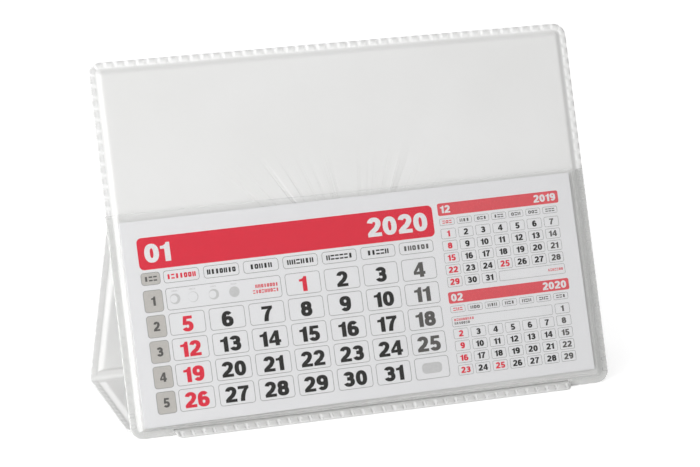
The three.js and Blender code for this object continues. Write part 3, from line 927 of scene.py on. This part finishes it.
def ring(x, y, width, height):
    # the two outlines of a closed stroke
    half = digit["stroke"] / 2
    outer = arc(x, y, width + half, height + half, 0, 360)[:-1]
    inner = arc(x, y, width - half, height - half, 0, 360)[:-1]
    return [outer, inner]


def polygon(*corners):
    return [np.array(corners, dtype=float)]


def bar(x0, y0, x1, y1):
    return polygon((x0, y0), (x1, y0), (x1, y1), (x0, y1))


def digitStrokes():
    # each stroke is a list of loops; a place inside two of them is a hole
    middle = digit["wide"] / 2
    reach = (digit["wide"] - digit["stroke"]) / 2
    base = digit["stroke"] / 2
    waist = digit["waist"]
    top = 1 - base
    upper = (middle, (top + waist) / 2, reach * 0.9, (top - waist) / 2)
    lower = (middle, (base + waist) / 2, reach, (waist - base) / 2)
    whole = (middle, 0.5, reach, 0.5 - base)
    sixBack = chain([(middle - reach, 0.30), (middle - reach, 0.42)], arc(*whole, 180, 42))
    six = [ring(middle, 0.315, reach, 0.225), ribbon(sixBack)]
    nine = [[np.array([digit["wide"], 1.0]) - loop for loop in stroke] for stroke in six]
    five = arc(middle - 0.01, 0.315, reach, 0.225, 146, -158)
    two = [(0.38, 0.42), (0.22, 0.28), (0.13, 0.17), (0.1, 0.08)]
    two = chain(arc(middle, 0.7, reach * 0.95, 0.21, 172, -22), two)
    return {
        "0": [ring(*whole)],
        "1": [polygon((0.17, 0), (0.41, 0), (0.41, 1), (0.26, 1), (0.22, 0.9), (0.14, 0.84), (0, 0.82),
                      (0, 0.67), (0.17, 0.67))],
        "2": [ribbon(two), bar(0, 0, 0.61, 0.2)],
        "3": [ribbon(arc(*upper, 164, -90)), ribbon(arc(*lower, 90, -164)),
              bar(0.21, waist - base, middle + 0.02, waist + base)],
        "4": [bar(0.33, 0, 0.56, 1), bar(0, 0.19, 0.65, 0.38),
              polygon((0, 0.3), (0, 0.385), (0.345, 1), (0.46, 1), (0.46, 0.86), (0.165, 0.37),
                      (0.165, 0.3))],
        "5": [ribbon(five), bar(0.1, 0.8, 0.57, 1),
              polygon((0.1, 1), (0.04, 0.42), (0.23, 0.42), (0.29, 0.9), (0.29, 1))],
        "6": six,
        "7": [bar(0.02, 0.8, 0.6, 1),
              polygon((0.6, 1), (0.6, 0.85), (0.47, 0.65), (0.39, 0.4), (0.355, 0.18), (0.345, 0), (0.105, 0),
                      (0.12, 0.18), (0.165, 0.42), (0.25, 0.64), (0.37, 0.83), (0.42, 1))],
        "8": [ring(*upper), ring(*lower)],
        "9": nine,
    }


def insideLoop(spots, loop):
    # counts the loop's edges to the right of each spot
    x, y = spots[:, :1], spots[:, 1:]
    x0, y0 = loop.T
    x1, y1 = np.roll(loop, -1, axis=0).T
    rise = np.where(y1 == y0, 1, y1 - y0)
    crossed = ((y0 > y) != (y1 > y)) & (x < x0 + (y - y0) / rise * (x1 - x0))
    return crossed.sum(axis=1) % 2 == 1


def fusedPlate(strokes):
    # all strokes in one triangulation, then the triangles inside any of them as a plate one unit thick
    loops = [loop for stroke in strokes for loop in stroke]
    starts = np.cumsum([0] + [len(loop) for loop in loops])
    edges = []
    for start, loop in zip(starts, loops):
        edges += [(start + k, start + (k + 1) % len(loop)) for k in range(len(loop))]
    corners = [Vector(spot) for spot in chain(*loops)]
    spots, _, triangles = delaunay_2d_cdt(corners, edges, [], 0, 1e-5)[:3]
    spots, triangles = np.array([tuple(spot) for spot in spots]), np.array(triangles)
    middles = spots[triangles].mean(axis=1)
    kept = np.zeros(len(triangles), dtype=bool)
    for stroke in strokes:
        hits = sum(insideLoop(middles, loop).astype(int) for loop in stroke)
        kept |= hits % 2 == 1
    triangles = triangles[kept]
    sides = chain(triangles[:, [0, 1]], triangles[:, [1, 2]], triangles[:, [2, 0]])
    paired = {tuple(side) for side in sides}
    rim = np.array([side for side in sides if (side[1], side[0]) not in paired])
    used = np.unique(triangles)
    renumber = np.zeros(len(spots), dtype=int)
    renumber[used] = np.arange(len(used))
    count = len(used)
    flat = spots[used]
    points = chain(np.c_[flat, np.zeros(count)], np.c_[flat, np.ones(count)])
    top, rim = renumber[triangles], renumber[rim]
    walls = stacked(rim[:, 0], rim[:, 1], rim[:, 1] + count, rim[:, 0] + count)
    faces = [chain(top[:, ::-1], top + count), walls]
    return dict(points=points, faces=faces, wide=float(flat[:, 0].max()))


digits = {key: fusedPlate(strokes) for key, strokes in digitStrokes().items()}
print("digits drawn")


def lineStart(x, total, anchor):
    # where a line of the given length starts, so that its anchor lies at x
    return {"middle": x - total / 2, "left": x, "right": x - total}[anchor]


def numberShape(number, x, y, cap, stretch=digit["stretch"], anchor="middle", layer=0):
    # digits side by side on a line whose middle is at y
    widths = [digits[c]["wide"] * cap * stretch for c in number]
    gap = digit["gap"] * cap * stretch
    cursor = lineStart(x, sum(widths) + gap * (len(number) - 1), anchor)
    low = layerLow(layer)
    parts = []
    for c, width in zip(number, widths):
        across, up, high = digits[c]["points"].T
        points = sheetPoint(cursor + across * cap * stretch, y + cap / 2 - up * cap, low + high * inkThick)
        parts.append((points, turnOut(points, digits[c]["faces"])))
        cursor += width + gap
    return parts


def wordBlocks(letters, x, y, cap, block, gap, anchor="middle", layer=0):
    # a word's place: a row of plain marks, each a frame, a pair of bars or one wide bar
    left = lineStart(x, letters * block + (letters - 1) * gap, anchor)
    low = y - cap / 2
    line = cap * 0.3
    marks = []
    for k in range(letters):
        at = left + k * (block + gap)
        kind = int(rng.integers(4))
        if kind == 0:
            marks.append(frameShape(at, low, block, cap, block * 0.3, line, layer))
            continue
        bars = {
            1: ((at, low, line, cap, 0.02), (at + block - line, low, line, cap, 0.02)),
            2: ((at, low, block, line, 0.02), (at, low + cap - line, block, line, 0.02)),
            3: ((at + block * 0.2, low, block * 0.6, cap, 0.05),),
        }
        marks += [flatShape(roundedLoop(*place, 1), layer) for place in bars[kind]]
    return marks


mainMonth = dict(
    band=(5.75, 6.75, 122.0, 12.5), bandRound=2.0, bandStart=2.6, bandEnd=2.6, bandCap=7.4,
    month="01", year="2020",
    weekX=5.75, weekWidth=7.7, firstX=14.75, columnPitch=16.2, boxWidth=14.4,
    labelY=20.4, labelHeight=4.85, labelLetters=(7, 7, 5, 6, 6, 5, 6), labelCap=1.9,
    firstY=27.25, rowPitch=9.87, boxHeight=8.6, round=1.2, line=0.16,
    dateCap=5.9, dateDrop=0.25, weekCap=3.6, weekStretch=1.15,
    firstDay=3, days=31, redDays=(1,), nextPlate=(3.0, 2.2, 8.4, 4.2, 1.6), notes=((-0.95, 8), (1.15, 9)),
    moons=((18.3, 1.15), (25.6, 0.35), (34.0, 1.15), (42.3, 0)), moonRadius=2.1, moonDrop=0.1,
)
sideMonths = (
    dict(band=(130.1, 6.55, 52.0, 5.0), month="12", year="2019", labelY=12.75, firstY=16.8,
         firstDay=0, days=31, redDays=(25,)),
    dict(band=(129.8, 42.2, 52.0, 4.6), month="02", year="2020", labelY=47.8, firstY=52.1,
         firstDay=6, days=29, redDays=(25,)),
)
sideShared = dict(x=130.3, columnPitch=7.4, rowPitch=4.85, boxWidth=6.3, boxHeight=4.05, labelHeight=2.7,
                  round=0.6, line=0.12, dateCap=2.4, dateDrop=0, bandRound=0.8, bandStart=1.1, bandEnd=1.2,
                  bandCap=3.0, wordBlock=0.75, wordGap=0.2)

inkColours = dict(
    crimson=(0.775, 0.026, 0.056), coral=(0.78, 0.105, 0.125), black=(0.014, 0.013, 0.012),
    soft=(0.11, 0.105, 0.10), line=(0.20, 0.195, 0.19), white=(0.84, 0.84, 0.85), weekGrey=(0.57, 0.55, 0.52),
    pale=(0.62, 0.62, 0.62))
inks = {key: [] for key in inkColours}


def boxFrame(values, x, y, w, h, layer=0):
    inks["line"].append(frameShape(x, y, w, h, values["round"], values["line"], layer))


def weekBox(m, y, h):
    box = (m["weekX"], y, m["weekWidth"], h)
    inks["weekGrey"].append(flatShape(roundedLoop(*box, m["round"])))
    boxFrame(m, *box, 1)


def dateInk(column, isRed=False):
    # red on the first day of the week and on feast days, softer on the last day of the week
    if column == 0 or isRed:
        return "crimson"
    return "soft" if column == 6 else "black"


def printBand(colour, m, values, steps):
    # the coloured band with the month on its left and the year on its right
    x, y, w, h = m["band"]
    inks[colour].append(flatShape(roundedLoop(x, y, w, h, values["bandRound"], steps)))
    ends = (("month", x + values["bandStart"], "left"), ("year", x + w - values["bandEnd"], "right"))
    for key, end, anchor in ends:
        inks["white"] += numberShape(m[key], end, y + h / 2, values["bandCap"], anchor=anchor, layer=1)


def wideBox(values, left, top, columns):
    # one box over several columns; gives its width
    wide = values["boxWidth"] + (columns - 1) * values["columnPitch"]
    boxFrame(values, left, top, wide, values["boxHeight"])
    return wide


def printDays(m, values, lefts):
    # a box and a date for each day; the next month's first days have a box and a pale plate, or nothing
    for row in range(5):
        top = m["firstY"] + row * values["rowPitch"]
        for column, left in enumerate(lefts):
            day = row * 7 + column - m["firstDay"] + 1
            isNext = day > m["days"]
            if day < 1 or (isNext and "nextPlate" not in values):
                continue
            boxFrame(values, left, top, values["boxWidth"], values["boxHeight"])
            if isNext:
                x, y, w, h, radius = values["nextPlate"]
                inks["pale"].append(flatShape(roundedLoop(left + x, top + y, w, h, radius)))
                continue
            middle = top + values["boxHeight"] / 2 + values["dateDrop"]
            date = numberShape(str(day), left + values["boxWidth"] / 2, middle, values["dateCap"])
            inks[dateInk(column, day in m["redDays"])] += date


def printMain(m):
    printBand("crimson", m, m, 8)
    labelMiddle = m["labelY"] + m["labelHeight"] / 2
    weekMiddle = m["weekX"] + m["weekWidth"] / 2
    lefts = [m["firstX"] + column * m["columnPitch"] for column in range(7)]
    weekBox(m, m["labelY"], m["labelHeight"])
    inks["soft"] += wordBlocks(3, weekMiddle, labelMiddle, m["labelCap"], 1.45, 0.35, layer=1)
    for column, (left, letters) in enumerate(zip(lefts, m["labelLetters"])):
        boxFrame(m, left, m["labelY"], m["boxWidth"], m["labelHeight"])
        block = 1.35 if letters == 7 else 1.5
        label = wordBlocks(letters, left + m["boxWidth"] / 2, labelMiddle, m["labelCap"], block, 0.36)
        inks[dateInk(column)] += label
    for row in range(5):
        top = m["firstY"] + row * m["rowPitch"]
        weekBox(m, top, m["boxHeight"])
        middle = top + m["boxHeight"] / 2
        inks["soft"] += numberShape(str(row + 1), weekMiddle, middle, m["weekCap"], m["weekStretch"], layer=1)
    printDays(m, m, lefts)

    # the empty boxes before the first day are one wide box, with the moons and two lines of marks
    wide = wideBox(m, m["firstX"], m["firstY"], m["firstDay"])
    moonY = m["firstY"] + m["boxHeight"] / 2 + m["moonDrop"]
    for place, bite in m["moons"]:
        if bite:
            inks["pale"].append(crescent(place, moonY, m["moonRadius"], bite))
        else:
            inks["pale"].append(flatShape(circleLoop(place, moonY, m["moonRadius"])))
        inks["pale"] += wordBlocks(4, place, moonY - 3.1, 0.55, 0.5, 0.12)
    lineEnd = m["firstX"] + wide - 1.3
    for line, letters in m["notes"]:
        inks["coral"] += wordBlocks(letters, lineEnd, m["firstY"] + 4.3 + line, 1.35, 0.95, 0.24, "right")


def crescent(x, y, radius, bite):
    # a moon: a circle's rim, and a smaller arc set to its left on the way back
    turn = np.linspace(-0.5, 0.5, 15) * pi * 1.9
    rim = stacked(x + radius * np.cos(turn), y + radius * np.sin(turn))
    small = radius - bite * 0.55
    turn = turn[::-1]
    back = stacked(x - bite * 0.45 + small * np.cos(turn), y + small * np.sin(turn))
    return flatShape(chain(rim, back))


def printSide(m, shared):
    printBand("coral", m, shared, 6)
    start = shared["x"] + m["band"][0] - sideMonths[0]["band"][0]
    lefts = [start + column * shared["columnPitch"] for column in range(7)]
    width = shared["boxWidth"]
    labelMiddle = m["labelY"] + shared["labelHeight"] / 2
    for column, left in enumerate(lefts):
        boxFrame(shared, left, m["labelY"], width, shared["labelHeight"])
        label = wordBlocks(3, left + width / 2, labelMiddle, 1.25, 1.15, 0.25)
        inks["coral" if column == 0 else "soft"] += label
    printDays(m, shared, lefts)

    # the empty boxes before the first day and after the last one are one wide box each
    word = (shared["wordBlock"], shared["wordGap"])
    if m["firstDay"] > 1:
        wideBox(shared, lefts[0], m["firstY"], m["firstDay"])
        inks["coral"] += wordBlocks(9, lefts[0] + 1.0, m["firstY"] + 1.3, 0.95, *word, "left")
        inks["soft"] += wordBlocks(7, lefts[0] + 1.0, m["firstY"] + 2.7, 0.95, *word, "left")
    after = m["firstDay"] + m["days"]
    if after < 35:
        left = lefts[after % 7]
        top = m["firstY"] + 4 * shared["rowPitch"]
        wide = wideBox(shared, left, top, 7 - after % 7)
        middle = top + shared["boxHeight"] / 2
        inks["coral"] += wordBlocks(7, left + wide - 0.9, middle, 1.0, *word, "right")


printMain(mainMonth)
for month in sideMonths:
    printSide(month, sideShared)

for key, parts in inks.items():
    points, faces = joinParts(parts)
    paint = ink(key + " ink", inkColours[key])
    piece = makeObject("print" + key[0].upper() + key[1:], points, faces, paint, False)
    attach(piece, body)
    print(key, "print:", len(piece.data.polygons), "faces")
